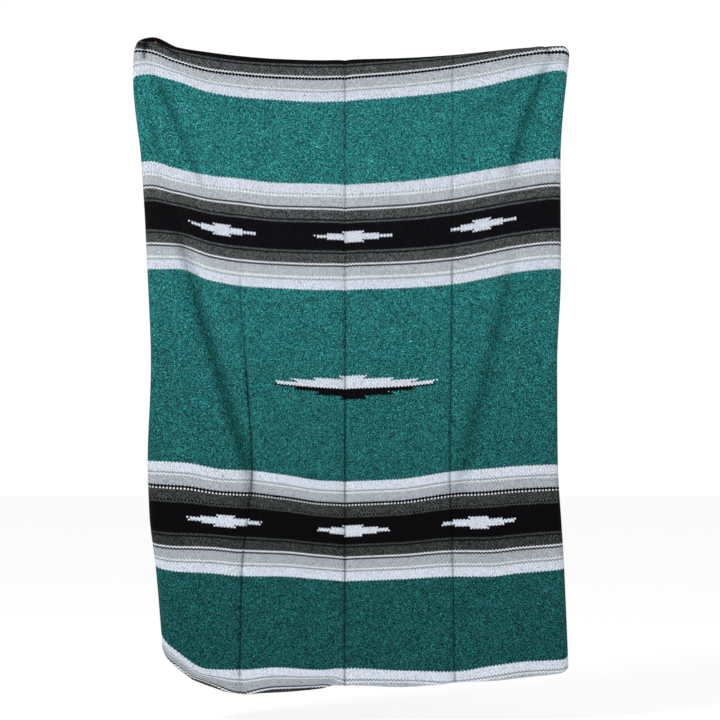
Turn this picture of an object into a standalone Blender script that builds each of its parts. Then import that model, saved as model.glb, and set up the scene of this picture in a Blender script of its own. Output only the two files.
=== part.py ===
"""A striped handwoven blanket that hangs by its two upper corners from two nails.

Lengths in the tables are millimetres. X runs to the right across the blanket, Z up, and the front
faces -Y. The origin is on the wall, half way between the two nails.
"""

import math
from collections import namedtuple

import bmesh
import bpy
import numpy as np
from mathutils import Matrix, Vector
from mathutils.bvhtree import BVHTree

MM = 0.001

# The cut: woven width, and the stripes along its length from the top end
WOVEN_WIDTH = 1270
END_BAND = 190
OUTER_GREEN = 245
BAND = 297
MIDDLE_GREEN = 544
CLOTH_THICKNESS = 2.4

# The storage creases run along the warp, at about the quarters of the width
LEFT_CREASE = 335
MIDDLE_CREASE = 635
RIGHT_CREASE = 940
CREASE_REACH = 16

# How tightly the top end turns over to the back, and the bottom end turns under
TOP_RADIUS = 6
BOTTOM_RADIUS = 6

# Woven distance of each stripe line from the top end
PALE_LINE = 119.5
CORNER_AT = 142
TOP_BORDER = END_BAND
BAND_2_START = TOP_BORDER + OUTER_GREEN
BAND_2_END = BAND_2_START + BAND
CENTRE = BAND_2_END + MIDDLE_GREEN / 2
BAND_3_START = BAND_2_END + MIDDLE_GREEN
BAND_3_MIDDLE = BAND_3_START + BAND / 2
BAND_3_END = BAND_3_START + BAND
BOTTOM_BORDER = BAND_3_END + OUTER_GREEN
WOVEN_LENGTH = BOTTOM_BORDER + END_BAND

# The columns of the tables
Across = namedtuple(
    "Across", "left_selvage left_edge left_margin left_quarter left_crease left_panel"
    " left_inner middle right_inner right_crease right_panel right_margin right_edge"
    " right_selvage")
Outline = namedtuple(
    "Outline", "left left_crease middle right_crease right"
    " left_turned right_turned left_radius right_radius")
StandOff = namedtuple("StandOff", "left left_crease middle right_crease right")
Fold = namedtuple("Fold", "across_0 down_0 across_1 down_1 depth half_width")
Kink = namedtuple("Kink", "across reach low at fade")

# Distance of each column across the woven width, and how low the folds and lines hang there
ACROSS = Across(
    0, 73, 150, 250, LEFT_CREASE, 440, 570, MIDDLE_CREASE,
    790, RIGHT_CREASE, 1035, 1130, 1235, WOVEN_WIDTH)
TOP_FOLD_LOW = Across(-8, -26, 3, 18, 28, 36, 40, 38, 34, 25, 15, 5, -1, 15)
LINES_LOW = {
    PALE_LINE: Across(4, 11, 39, 66, 76, 84, 88, 85, 74, 56, 39, 20, 9, 23),
    TOP_BORDER: Across(93, 78, 96, 130, 144, 152, 158, 154, 144, 128, 111, 86, 67, 84),
    BAND_2_START: Across(
        340, 329, 349, 370, 379, 391, 394, 395, 388, 370, 354, 337, 322, 327),
    BAND_2_END: Across(640, 633, 633, 666, 681, 688, 693, 692, 688, 677, 660, 641, 632, 638),
    CENTRE: Across(910, 908, 912, 936, 949, 959, 969, 971, 966, 950, 936, 920, 911, 916),
    BAND_3_START: Across(
        1180, 1182, 1186, 1205, 1209, 1221, 1237, 1238, 1233, 1212, 1204, 1196, 1192, 1196),
    BAND_3_END: Across(
        1438, 1478, 1495, 1500, 1508, 1508, 1517, 1521, 1517, 1509, 1509, 1499, 1490, 1484),
    BOTTOM_BORDER: Across(
        1578, 1643, 1713, 1773, 1775, 1768, 1775, 1770, 1778, 1780, 1765, 1752, 1747, 1729),
}
BOTTOM_FOLD_LOW = Across(
    1625, 1686, 1758, 1819, 1843, 1839, 1828, 1819, 1825, 1811, 1807, 1797, 1784, 1768)

# Woven distance from the top end at which each fold turns, in the same columns
TOP_FOLD_AT = Across(105, 58, 67, 64, 62, 64, 64, 64, 70, 74, 82, 100, 109, 109)
BOTTOM_FOLD_AT = Across(
    1874, 1882, 1893, 1901, 1891, 1904, 1898, 1864, 1870, 1854, 1862, 1867, 1861, 1856)

# Kinks in the lines: how much lower they hang at one place across, on both sides within reach,
# and the woven distance round which that shows
KINKS = {
    "middle_crease": Kink(MIDDLE_CREASE, 15, 2.5, 1000, 4000),
    "right_corner_rise": Kink(1172, 11, -2.6, 90, 30),
    "right_corner_notch": Kink(1190, 5, 2.2, 90, 24),
    "pale_line_hook": Kink(20, 8, 6, 119, 25),
    "left_edge_jog": Kink(30, 9, 7, 185, 45),
    "hem_left_belly": Kink(207, 28, 6, 1895, 60),
    "hem_tip": Kink(352, 16, 5, 1900, 50),
    "hem_left_end": Kink(600, 14, -5, 1890, 50),
    "hem_step": Kink(904, 22, 5.2, 1870, 45),
}

# The outline and the creases as X from the front, and how far and how round the selvages turn back
OUTLINE = {
    TOP_FOLD_AT.middle: Outline(-610, -321, -22, 283, 619, 22, 4, 18, 20),
    CORNER_AT: Outline(-625, -321, -22, 283, 616, 23, 5, 20, 20),
    TOP_BORDER: Outline(-626, -321, -22, 283, 611, 24, 6, 20, 20),
    BAND_2_START: Outline(-602, -321, -22, 283, 592, 40, 10, 20, 20),
    BAND_2_END: Outline(-585, -321, -22, 283, 593, 50, 12, 20, 20),
    CENTRE: Outline(-575, -301, -22, 280, 582, 45, 20, 20, 20),
    BAND_3_START: Outline(-584, -287, -22, 277, 584, 38, 15, 22, 20),
    BAND_3_MIDDLE: Outline(-579, -301, -22, 281, 593, 50, 11, 24, 20),
    BAND_3_END: Outline(-562, -316, -22, 286, 602, 70, 8, 32, 22),
    BOTTOM_BORDER: Outline(-546, -321, -22, 291, 613, 93, 5, 40, 25),
    BOTTOM_FOLD_AT.middle: Outline(-543, -324, -22, 294, 615, 98, 5, 40, 25),
}

# How far the front stands off the wall
STAND_OFF = {
    TOP_FOLD_AT.middle: StandOff(46, 50, 54, 50, 46),
    TOP_BORDER: StandOff(48, 56, 62, 56, 48),
    BAND_2_START: StandOff(52, 66, 74, 66, 52),
    BAND_2_END: StandOff(56, 74, 82, 74, 58),
    CENTRE: StandOff(58, 76, 86, 78, 62),
    BAND_3_START: StandOff(60, 74, 84, 78, 64),
    BAND_3_END: StandOff(66, 73, 79, 74, 64),
    BOTTOM_BORDER: StandOff(69, 69, 69, 66, 60),
    BOTTOM_FOLD_AT.middle: StandOff(68, 66, 64, 60, 56),
}

# A fold fades out past its ends over this many half widths, or this share of its length
FOLD_FADE_WIDTHS = 2.5
FOLD_FADE_SHARE = 0.25

# Soft troughs, as depth away from the viewer, and ridges as a negative depth
FOLDS = {
    "left_shoulder": Fold(120, 220, 262, 430, 11, 26),
    "left_dimple": Fold(104, 340, 121, 395, 4, 20),
    "left_trough": Fold(190, 720, 321, 1235, 20, 25),
    "left_ridge": Fold(250, 700, 385, 1180, -7, 36),
    "right_shoulder": Fold(1191, 215, 1120, 410, 16, 23),
    "right_soft_trough": Fold(1134, 205, 1010, 255, 5, 30),
    "right_trough": Fold(1098, 780, 983, 1265, 18, 25),
    "right_ridge": Fold(1160, 800, 1050, 1250, -7, 32),
    "right_dimple": Fold(985, 735, 1000, 840, 6, 30),
    "left_crease": Fold(LEFT_CREASE, 740, LEFT_CREASE, 1300, 4, CREASE_REACH),
    "left_hem_crease": Fold(LEFT_CREASE, 1560, LEFT_CREASE, WOVEN_LENGTH, 8, CREASE_REACH),
    "middle_crease": Fold(MIDDLE_CREASE, 0, MIDDLE_CREASE, WOVEN_LENGTH, 6, CREASE_REACH),
    "right_crease": Fold(RIGHT_CREASE, 720, RIGHT_CREASE, WOVEN_LENGTH, 4, CREASE_REACH),
    "hem_swell": Fold(480, 1640, 490, 1900, -9, 85),
    "hem_hollow": Fold(760, 1680, 790, 1900, 10, 95),
    "hem_right_swell": Fold(1070, 1660, 1060, 1900, -7, 80),
}

# The wall's mesh: each stretch of columns starts here, with this spacing
COLUMN_STRETCHES = {
    "left_turned_back": (0, 18),
    "left_troughs": (150, 23),
    "left_plain": (LEFT_CREASE, 75),
    "right_plain": (MIDDLE_CREASE, 75),
    "right_troughs": (RIGHT_CREASE, 25),
    "right_turned_back": (1170, 17),
}
ROW_SPACING = 58
TURN_ROWS = 6

# The nails, driven into a wall at Y = 0
NAIL_SHANK_RADIUS = 2.0
NAIL_HEAD_RADIUS = 4.6
NAIL_HEAD_THICKNESS = 1.6
NAIL_EDGE = 0.6
NAIL_SIDES = 16
NAIL_ACROSS = 562
LEFT_NAIL_LOW = -11
RIGHT_NAIL_LOW = 7
CLEARANCE = 0.3
HANG_LOW = (LEFT_NAIL_LOW + RIGHT_NAIL_LOW) / 2


def smooth(stations, values, at):
    """Values between the stations, on cubic stretches that never overshoot them."""
    stations = np.asarray(stations, float)
    values = np.asarray(values, float)
    gaps = np.diff(stations)
    rises = np.diff(values) / gaps
    slopes = np.concatenate([rises[:1], np.zeros(len(rises) - 1), rises[-1:]])
    steady = rises[:-1] * rises[1:] > 0
    sums = np.where(steady, rises[:-1] + rises[1:], 1.0)
    slopes[1:-1] = np.where(steady, 2 * rises[:-1] * rises[1:] / sums, 0.0)
    at = np.clip(at, stations[0], stations[-1])
    place = np.clip(np.searchsorted(stations, at) - 1, 0, len(gaps) - 1)
    share = (at - stations[place]) / gaps[place]
    rest = 1 - share
    start = rest ** 2 * (1 + 2 * share) * values[place]
    end = share ** 2 * (1 + 2 * rest) * values[place + 1]
    bend = share * rest * gaps[place] * (rest * slopes[place] - share * slopes[place + 1])
    return start + end + bend


def fold_depth(across, down):
    """Depth of all the troughs and ridges at woven places."""
    depth = np.zeros_like(down)
    for fold in FOLDS.values():
        run = np.array([fold.across_1 - fold.across_0, fold.down_1 - fold.down_0], float)
        length = np.hypot(*run)
        run /= length
        along = (across - fold.across_0) * run[0] + (down - fold.down_0) * run[1]
        aside = (across - fold.across_0) * run[1] - (down - fold.down_0) * run[0]
        past_end = np.maximum(np.maximum(-along, along - length), 0)
        fade = max(fold.half_width * FOLD_FADE_WIDTHS, length * FOLD_FADE_SHARE)
        sides = (aside / fold.half_width) ** 2 + (past_end / fade) ** 2
        depth += fold.depth * np.exp(-sides)
    return depth


def kink_low(across, down):
    """How much lower the kinks put each woven place of one column."""
    low = np.zeros_like(down)
    for kink in KINKS.values():
        beside = math.exp(-abs(across - kink.across) / kink.reach)
        low += kink.low * beside * np.exp(-((down - kink.at) / kink.fade) ** 2)
    return low


def turn_over(past, low, radius, way):
    """How low and how far behind the front a sheet lies that turns round a level edge.

    past is the arc's length past the start of the turn. way is 1 where the sheet goes up and over,
    and -1 where it goes down and under.
    """
    angle = np.clip(past / radius, 0, math.pi)
    straight = np.maximum(past - math.pi * radius, 0)
    height = low + way * (radius * (1 - np.sin(angle)) + straight)
    behind = radius * (1 - np.cos(angle))
    return height, behind


def round_edge(past, radius, behind):
    """How far out and back a place lies, past the start of an upright edge that turns back."""
    angle = min(past / radius, math.pi)
    straight = past - angle * radius
    inner = radius - behind
    out = inner * math.sin(angle) - straight
    back = radius - inner * math.cos(angle)
    return out, back


def place_across(across, behind, outline, stand_off):
    """X and Y of one place, from the section of the sheet at its own height."""
    left_start = outline.left_turned + math.pi / 2 * outline.left_radius
    right_start = WOVEN_WIDTH - outline.right_turned - math.pi / 2 * outline.right_radius
    left_x = outline.left + outline.left_radius
    right_x = outline.right - outline.right_radius
    if across < left_start:
        out, back = round_edge(left_start - across, outline.left_radius, behind)
        return left_x - out, back - stand_off.left
    if across > right_start:
        out, back = round_edge(across - right_start, outline.right_radius, behind)
        return right_x + out, back - stand_off.right
    stations = (left_start, LEFT_CREASE, MIDDLE_CREASE, RIGHT_CREASE, right_start)
    front = (left_x, outline.left_crease, outline.middle, outline.right_crease, right_x)
    return smooth(stations, front, across), behind - smooth(stations, stand_off, across)


def rows_down(top_start, top_end, bottom_start, bottom_end):
    """Woven distances down one column, with the same count of rows in every column."""
    breaks = [0, top_start, top_end, *LINES_LOW, bottom_start, bottom_end, WOVEN_LENGTH]
    typical = [0, TOP_FOLD_AT.middle, TOP_FOLD_AT.middle, *LINES_LOW, BOTTOM_FOLD_AT.middle,
               BOTTOM_FOLD_AT.middle, WOVEN_LENGTH]
    down = [0.0]
    for place, (start, end) in enumerate(zip(breaks, breaks[1:])):
        length = typical[place + 1] - typical[place]
        rows = max(2, math.ceil(length / ROW_SPACING)) if length else TURN_ROWS
        down += list(np.linspace(start, end, rows + 1)[1:])
    return np.array(down)


def column_points(across):
    """The points down one column of the sheet, from the top end to the bottom end."""
    top_at, bottom_at, top_low, bottom_low = (
        smooth(ACROSS, row, across)
        for row in (TOP_FOLD_AT, BOTTOM_FOLD_AT, TOP_FOLD_LOW, BOTTOM_FOLD_LOW))
    top_arc = math.pi / 2 * TOP_RADIUS
    bottom_arc = math.pi / 2 * BOTTOM_RADIUS
    top_turn = top_at + top_arc
    bottom_turn = bottom_at - bottom_arc
    down = rows_down(top_at - top_arc, top_turn, bottom_turn, bottom_at + bottom_arc)

    lines_low = [smooth(ACROSS, row, across) for row in LINES_LOW.values()]
    front_low = [top_low + TOP_RADIUS, *lines_low, bottom_low - BOTTOM_RADIUS]
    low = smooth([top_turn, *LINES_LOW, bottom_turn], front_low, down)
    behind = np.zeros_like(down)
    over = down < top_turn
    under = down > bottom_turn
    low[over], behind[over] = turn_over(top_turn - down[over], top_low, TOP_RADIUS, 1)
    low[under], behind[under] = turn_over(
        down[under] - bottom_turn, bottom_low, BOTTOM_RADIUS, -1)
    low += kink_low(across, down)

    # What is turned over follows the section of the front that hangs at its own height
    level = np.maximum(down, 2 * top_at - down)
    level = np.minimum(level, 2 * bottom_at - level)
    outline = [smooth(list(OUTLINE), values, level) for values in zip(*OUTLINE.values())]
    stand_off = [smooth(list(STAND_OFF), values, level) for values in zip(*STAND_OFF.values())]
    places = [
        place_across(across, back, Outline(*section), StandOff(*off))
        for back, section, off in zip(behind, zip(*outline), zip(*stand_off))]
    x, y = np.array(places).T
    return np.stack([x, y + fold_depth(across, level), HANG_LOW - low], 1)


def woven_columns():
    """Distances across the woven width, closest at the selvages, the troughs and the creases."""
    starts = [start for start, _ in COLUMN_STRETCHES.values()] + [WOVEN_WIDTH]
    spacings = [spacing for _, spacing in COLUMN_STRETCHES.values()]
    columns = [0.0]
    for start, end, spacing in zip(starts, starts[1:], spacings):
        columns += list(np.linspace(start, end, round((end - start) / spacing) + 1)[1:])
    for crease in (LEFT_CREASE, MIDDLE_CREASE, RIGHT_CREASE):
        columns += [crease - CREASE_REACH, crease + CREASE_REACH]
    return sorted(columns)


def material(name, colour, roughness, metallic=0.0):
    """A plain Principled material, its colour given in linear light."""
    made = bpy.data.materials.new(name)
    made.use_nodes = True
    shader = made.node_tree.nodes["Principled BSDF"]
    shader.inputs["Base Color"].default_value = (*colour, 1.0)
    shader.inputs["Roughness"].default_value = roughness
    shader.inputs["Metallic"].default_value = metallic
    return made


def add_object(name, mesh, finish=None):
    """An object of this mesh in the scene."""
    made = bpy.data.objects.new(name, mesh)
    bpy.context.scene.collection.objects.link(made)
    if finish:
        mesh.materials.append(finish)
    return made


def blanket_cloth(finish):
    """The woven panel: a sheet through its columns, thickened to a wall."""
    columns = [column_points(across) * MM for across in woven_columns()]
    rows = len(columns[0])
    faces = []
    for column in range(len(columns) - 1):
        for row in range(rows - 1):
            near = column * rows + row
            faces.append((near, near + 1, near + rows + 1, near + rows))
    mesh = bpy.data.meshes.new("blanket_cloth")
    mesh.from_pydata(np.concatenate(columns).tolist(), [], faces)
    mesh.shade_smooth()
    cloth = add_object("blanket_cloth", mesh, finish)
    wall = cloth.modifiers.new("wall", "SOLIDIFY")
    wall.thickness = CLOTH_THICKNESS * MM
    wall.offset = 0.0
    return cloth


def front_of(cloth, x, z):
    """Distance from the wall to the foremost middle of the cloth under a nail's head."""
    bpy.context.view_layer.update()
    tree = BVHTree.FromObject(cloth, bpy.context.evaluated_depsgraph_get())
    from_front = Vector((0, 1, 0))
    reach = 0
    for step in range(NAIL_SIDES):
        angle = math.tau * step / NAIL_SIDES
        place = Vector((x + NAIL_HEAD_RADIUS * math.cos(angle), -1 / MM,
                        z + NAIL_HEAD_RADIUS * math.sin(angle)))
        hit = tree.ray_cast(place * MM, from_front)[0]
        reach = max(reach, -hit.y / MM)
    return reach


def turned(name, profile, x, z):
    """A round closed mesh standing out of the wall, from (radius, distance out) in millimetres."""
    shape = bmesh.new()
    outline = [shape.verts.new((radius, -out, 0)) for radius, out in profile]
    edges = [shape.edges.new(pair) for pair in zip(outline, outline[1:])]
    bmesh.ops.spin(shape, geom=outline + edges, cent=(0, 0, 0), axis=(0, 1, 0),
                   angle=math.tau, steps=NAIL_SIDES, use_merge=True)
    bmesh.ops.remove_doubles(shape, verts=shape.verts, dist=0.001)
    bmesh.ops.recalc_face_normals(shape, faces=shape.faces)
    mesh = bpy.data.meshes.new(name)
    shape.to_mesh(mesh)
    shape.free()
    mesh.transform(Matrix.Scale(MM, 4) @ Matrix.Translation((x, 0, z)))
    mesh.shade_smooth()
    mesh.set_sharp_from_angle(angle=math.radians(40))
    return mesh


def nail(name, x, z, length, finish):
    """A round nail that stands straight out of the wall, its cut end flat on the wall."""
    shank = NAIL_SHANK_RADIUS
    head = NAIL_HEAD_RADIUS
    under_head = length - NAIL_HEAD_THICKNESS
    profile = ((0, 0), (shank, 0), (shank, under_head), (head, under_head),
               (head, length - NAIL_EDGE), (head - NAIL_EDGE, length), (0, length))
    return add_object(name, turned(name, profile, x, z), finish)


def nail_hole(cloth, name, x, z, reach):
    """The hole that a nail's shank has in the cloth, out to reach from the wall."""
    radius = NAIL_SHANK_RADIUS + CLEARANCE
    profile = ((0, 0), (radius, 0), (radius, reach), (0, reach))
    cutter = add_object(name + "_hole", turned(name + "_hole", profile, x, z))
    cutter.hide_render = True
    cutter.display_type = "WIRE"
    cut = cloth.modifiers.new(name, "BOOLEAN")
    cut.operation = "DIFFERENCE"
    cut.object = cutter


def build():
    for old in list(bpy.data.objects):
        bpy.data.objects.remove(old)
    weave = material("green_striped_weave", (0.012, 0.165, 0.13), 0.95)
    iron = material("rusty_iron", (0.19, 0.085, 0.04), 0.7, 0.6)
    cloth = blanket_cloth(weave)

    # The left nail goes through both layers, and its head holds the front one
    left_x, left_z = -NAIL_ACROSS, HANG_LOW - LEFT_NAIL_LOW
    front = front_of(cloth, left_x, left_z)
    left_length = front + CLEARANCE + NAIL_HEAD_THICKNESS
    nail("nail_left", left_x, left_z, left_length, iron)

    # The right nail goes through the turned-over layer alone, and the fold rests on its head
    right_x, right_z = NAIL_ACROSS, HANG_LOW - RIGHT_NAIL_LOW
    inside = front_of(cloth, right_x, right_z) - CLOTH_THICKNESS / 2
    right_length = inside - TOP_RADIUS + NAIL_HEAD_THICKNESS / 2
    nail("nail_right", right_x, right_z, right_length, iron)

    nail_hole(cloth, "nail_left", left_x, left_z, front + TOP_RADIUS)
    nail_hole(cloth, "nail_right", right_x, right_z, inside - TOP_RADIUS)


build()
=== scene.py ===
# %% [markdown]
# # A striped handwoven blanket, hung by its two upper corners
#
# The blanket is one woven panel of coarse recycled-fibre yarn, about 50 by 79 inches, with striped
# bands and small stepped diamonds laid in by hand. It hangs from two plain nails, so its top edge
# sags and turns over, its selvages turn back and soft troughs run in from the corners. This lesson
# makes the sheet from a short set of tables, weaves its pattern in a material, and adds the small
# things that a maker would see close up: the selvage, the overcast ends and the slubs.

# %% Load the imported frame
import math
from collections import namedtuple

import bmesh
import bpy
import numpy as np
from mathutils import Matrix, Vector, noise


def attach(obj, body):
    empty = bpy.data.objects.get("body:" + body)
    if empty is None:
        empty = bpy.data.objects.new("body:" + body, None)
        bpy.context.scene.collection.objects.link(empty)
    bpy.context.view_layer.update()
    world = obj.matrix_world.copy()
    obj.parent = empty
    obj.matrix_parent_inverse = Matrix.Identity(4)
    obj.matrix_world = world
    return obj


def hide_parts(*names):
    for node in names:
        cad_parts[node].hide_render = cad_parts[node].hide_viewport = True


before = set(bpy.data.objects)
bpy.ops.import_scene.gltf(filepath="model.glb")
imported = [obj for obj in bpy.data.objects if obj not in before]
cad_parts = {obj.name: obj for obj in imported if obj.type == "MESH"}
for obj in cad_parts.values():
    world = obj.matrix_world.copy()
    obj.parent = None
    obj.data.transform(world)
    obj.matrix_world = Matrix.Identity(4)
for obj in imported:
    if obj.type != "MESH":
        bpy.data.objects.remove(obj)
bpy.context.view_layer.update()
MM = 0.001

# %% [markdown]
# ## The cut and the drape, as tables
#
# A weaver knows a place on the cloth by how far it is across the width and how far down the length
# from the top end. Every table below is read with those two distances, in millimetres. The drape is
# then a few more tables: how low each stripe line hangs, where the selvages and creases are seen
# from the front, and how far the front stands off the wall. A cloth simulation could drape the
# panel too, but it would move the stripes, and here each stripe line has its own measured place.

# %% The cut, in millimetres
WOVEN_WIDTH = 1270
END_BAND = 190
OUTER_GREEN = 245
BAND = 297
MIDDLE_GREEN = 544
CLOTH_THICKNESS = 2.4
LEFT_CREASE = 335
MIDDLE_CREASE = 635
RIGHT_CREASE = 940
CREASE_REACH = 16
CREASE_SIDE = 10
TOP_RADIUS = 6
BOTTOM_RADIUS = 6

# Woven distance of each stripe line from the top end
PALE_LINE = 119.5
CORNER_AT = 142
TOP_BORDER = END_BAND
BAND_2_START = TOP_BORDER + OUTER_GREEN
BAND_2_END = BAND_2_START + BAND
CENTRE = BAND_2_END + MIDDLE_GREEN / 2
BAND_3_START = BAND_2_END + MIDDLE_GREEN
BAND_3_MIDDLE = BAND_3_START + BAND / 2
BAND_3_END = BAND_3_START + BAND
BOTTOM_BORDER = BAND_3_END + OUTER_GREEN
WOVEN_LENGTH = BOTTOM_BORDER + END_BAND
print("the cut is", WOVEN_WIDTH, "by", WOVEN_LENGTH, "mm")

# %% The drape, in millimetres
Across = namedtuple(
    "Across", "left_selvage left_edge left_margin left_quarter left_crease left_panel"
    " left_inner middle right_inner right_crease right_panel right_margin right_edge"
    " right_selvage")
Outline = namedtuple(
    "Outline", "left left_crease middle right_crease right"
    " left_turned right_turned left_radius right_radius")
StandOff = namedtuple("StandOff", "left left_crease middle right_crease right")
Fold = namedtuple("Fold", "across_0 down_0 across_1 down_1 depth half_width")
Kink = namedtuple("Kink", "across reach low at fade")

ACROSS = Across(
    0, 73, 150, 250, LEFT_CREASE, 440, 570, MIDDLE_CREASE,
    790, RIGHT_CREASE, 1035, 1130, 1235, WOVEN_WIDTH)
TOP_FOLD_LOW = Across(-8, -26, 3, 18, 28, 36, 40, 38, 34, 25, 15, 5, -1, 15)
LINES_LOW = {
    PALE_LINE: Across(4, 11, 39, 66, 76, 84, 88, 85, 74, 56, 39, 20, 9, 23),
    TOP_BORDER: Across(93, 78, 96, 130, 144, 152, 158, 154, 144, 128, 111, 86, 67, 84),
    BAND_2_START: Across(
        340, 329, 349, 370, 379, 391, 394, 395, 388, 370, 354, 337, 322, 327),
    BAND_2_END: Across(640, 633, 633, 666, 681, 688, 693, 692, 688, 677, 660, 641, 632, 638),
    CENTRE: Across(910, 908, 912, 936, 949, 959, 969, 971, 966, 950, 936, 920, 911, 916),
    BAND_3_START: Across(
        1180, 1182, 1186, 1205, 1209, 1221, 1237, 1238, 1233, 1212, 1204, 1196, 1192, 1196),
    BAND_3_END: Across(
        1438, 1478, 1495, 1500, 1508, 1508, 1517, 1521, 1517, 1509, 1509, 1499, 1490, 1484),
    BOTTOM_BORDER: Across(
        1578, 1643, 1713, 1773, 1775, 1768, 1775, 1770, 1778, 1780, 1765, 1752, 1747, 1729),
}
BOTTOM_FOLD_LOW = Across(
    1625, 1686, 1758, 1819, 1843, 1839, 1828, 1819, 1825, 1811, 1807, 1797, 1784, 1768)
TOP_FOLD_AT = Across(105, 58, 67, 64, 62, 64, 64, 64, 70, 74, 82, 100, 109, 109)
BOTTOM_FOLD_AT = Across(
    1874, 1882, 1893, 1901, 1891, 1904, 1898, 1864, 1870, 1854, 1862, 1867, 1861, 1856)

# Kinks in the lines: how much lower they hang at one place across, on both sides within reach,
# and the woven distance round which that shows
KINKS = {
    "middle_crease": Kink(MIDDLE_CREASE, 15, 2.5, 1000, 4000),
    "right_corner_rise": Kink(1172, 11, -2.6, 90, 30),
    "right_corner_notch": Kink(1190, 5, 2.2, 90, 24),
    "pale_line_hook": Kink(20, 8, 6, 119, 25),
    "left_edge_jog": Kink(30, 9, 7, 185, 45),
    "hem_left_belly": Kink(207, 28, 6, 1895, 60),
    "hem_tip": Kink(352, 16, 5, 1900, 50),
    "hem_left_end": Kink(600, 14, -5, 1890, 50),
    "hem_step": Kink(904, 22, 5.2, 1870, 45),
}

OUTLINE = {
    TOP_FOLD_AT.middle: Outline(-610, -321, -22, 283, 619, 22, 4, 18, 20),
    CORNER_AT: Outline(-625, -321, -22, 283, 616, 23, 5, 20, 20),
    TOP_BORDER: Outline(-626, -321, -22, 283, 611, 24, 6, 20, 20),
    BAND_2_START: Outline(-602, -321, -22, 283, 592, 40, 10, 20, 20),
    BAND_2_END: Outline(-585, -321, -22, 283, 593, 50, 12, 20, 20),
    CENTRE: Outline(-575, -301, -22, 280, 582, 45, 20, 20, 20),
    BAND_3_START: Outline(-584, -287, -22, 277, 584, 38, 15, 22, 20),
    BAND_3_MIDDLE: Outline(-579, -301, -22, 281, 593, 50, 11, 24, 20),
    BAND_3_END: Outline(-562, -316, -22, 286, 602, 70, 8, 32, 22),
    BOTTOM_BORDER: Outline(-546, -321, -22, 291, 613, 93, 5, 40, 25),
    BOTTOM_FOLD_AT.middle: Outline(-543, -324, -22, 294, 615, 98, 5, 40, 25),
}
STAND_OFF = {
    TOP_FOLD_AT.middle: StandOff(46, 50, 54, 50, 46),
    TOP_BORDER: StandOff(48, 56, 62, 56, 48),
    BAND_2_START: StandOff(52, 66, 74, 66, 52),
    BAND_2_END: StandOff(56, 74, 82, 74, 58),
    CENTRE: StandOff(58, 76, 86, 78, 62),
    BAND_3_START: StandOff(60, 74, 84, 78, 64),
    BAND_3_END: StandOff(66, 73, 79, 74, 64),
    BOTTOM_BORDER: StandOff(69, 69, 69, 66, 60),
    BOTTOM_FOLD_AT.middle: StandOff(68, 66, 64, 60, 56),
}

# %% [markdown]
# ## Troughs, ridges and creases
#
# A soft trough is deep and wide, and a crease that was pressed in while the blanket lay folded is a
# narrow notch with a sharp bottom. Both are rows of one table each: where they start and end on the
# cloth, how deep they are, and how wide. A ridge is a trough with a negative depth.

# %% The folds, in millimetres
FOLD_FADE_WIDTHS = 2.5
FOLD_FADE_SHARE = 0.25
ROUND_POWER = 2
NOTCH_POWER = 1.2
SOFT_FOLDS = {
    "left_shoulder": Fold(120, 220, 262, 430, 11, 26),
    "left_dimple": Fold(104, 340, 121, 395, 4, 20),
    "left_trough": Fold(190, 720, 321, 1235, 20, 25),
    "left_ridge": Fold(250, 700, 385, 1180, -7, 36),
    "right_shoulder": Fold(1191, 215, 1120, 410, 16, 23),
    "right_soft_trough": Fold(1134, 205, 1010, 255, 5, 30),
    "right_trough": Fold(1098, 780, 983, 1265, 18, 25),
    "right_ridge": Fold(1160, 800, 1050, 1250, -7, 32),
    "right_dimple": Fold(985, 735, 1000, 840, 6, 30),
    "left_crease": Fold(LEFT_CREASE, 740, LEFT_CREASE, 1300, 4, CREASE_REACH),
    "left_hem_crease": Fold(LEFT_CREASE, 1560, LEFT_CREASE, WOVEN_LENGTH, 8, CREASE_REACH),
    "middle_crease": Fold(MIDDLE_CREASE, 0, MIDDLE_CREASE, WOVEN_LENGTH, 6, CREASE_REACH),
    "right_crease": Fold(RIGHT_CREASE, 720, RIGHT_CREASE, WOVEN_LENGTH, 4, CREASE_REACH),
    "hem_swell": Fold(480, 1640, 490, 1900, -9, 85),
    "hem_hollow": Fold(760, 1680, 790, 1900, 10, 95),
    "hem_right_swell": Fold(1070, 1660, 1060, 1900, -7, 80),
}
PINCHES = {
    "left_trough": Fold(186, 715, 314, 1225, 16, 15),
    "right_trough": Fold(1101, 790, 990, 1255, 13, 17),
    "left_shoulder": Fold(124, 228, 214, 425, 13, 12),
    "left_edge": Fold(92, 330, 110, 392, 7, 10),
    "right_shoulder": Fold(1189, 200, 1122, 415, 16, 15),
    "right_soft": Fold(1134, 205, 1030, 247, 12, 18),
}
PRESSED_CREASES = {
    "left_upper": Fold(334, 70, 336, 700, 1.2, 3.5),
    "left_middle": Fold(336, 720, 335, 1290, 3.6, 3.5),
    "left_deeper": Fold(335, 980, 335, 1300, 4.4, 3.5),
    "left_lower": Fold(335, 1310, 334, 1830, 6, 3.2),
    "middle_upper": Fold(635, 0, 636, 760, 3.8, 3.5),
    "middle_lower": Fold(636, 780, 634, 2008, 6.4, 3.2),
    "right_upper": Fold(941, 80, 940, 690, 3.2, 3.5),
    "right_lower": Fold(940, 700, 939, 2008, 5.4, 3.2),
    "left_corner_nick": Fold(58, 84, 64, 134, 9, 5),
    "left_corner_bunch": Fold(28, 92, 62, 100, 8, 6),
    "left_corner_pull": Fold(92, 76, 152, 96, 7, 5),
    "left_corner_low_pull": Fold(100, 112, 150, 135, 1.2, 6),
    "right_corner_notch": Fold(1188, 100, 1198, 124, 6, 5),
    "right_corner_pull": Fold(1170, 118, 1110, 142, 1.4, 8),
    "hem_pinch": Fold(338, 1850, 350, 1990, 1.8, 7),
}
# The share of a pinch fold's depth that darkens the weave as painted shade
PINCH_SHADE_SHARE = 0.1
print(len(SOFT_FOLDS) + len(PINCHES), "soft folds and", len(PRESSED_CREASES), "pressed creases")

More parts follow.
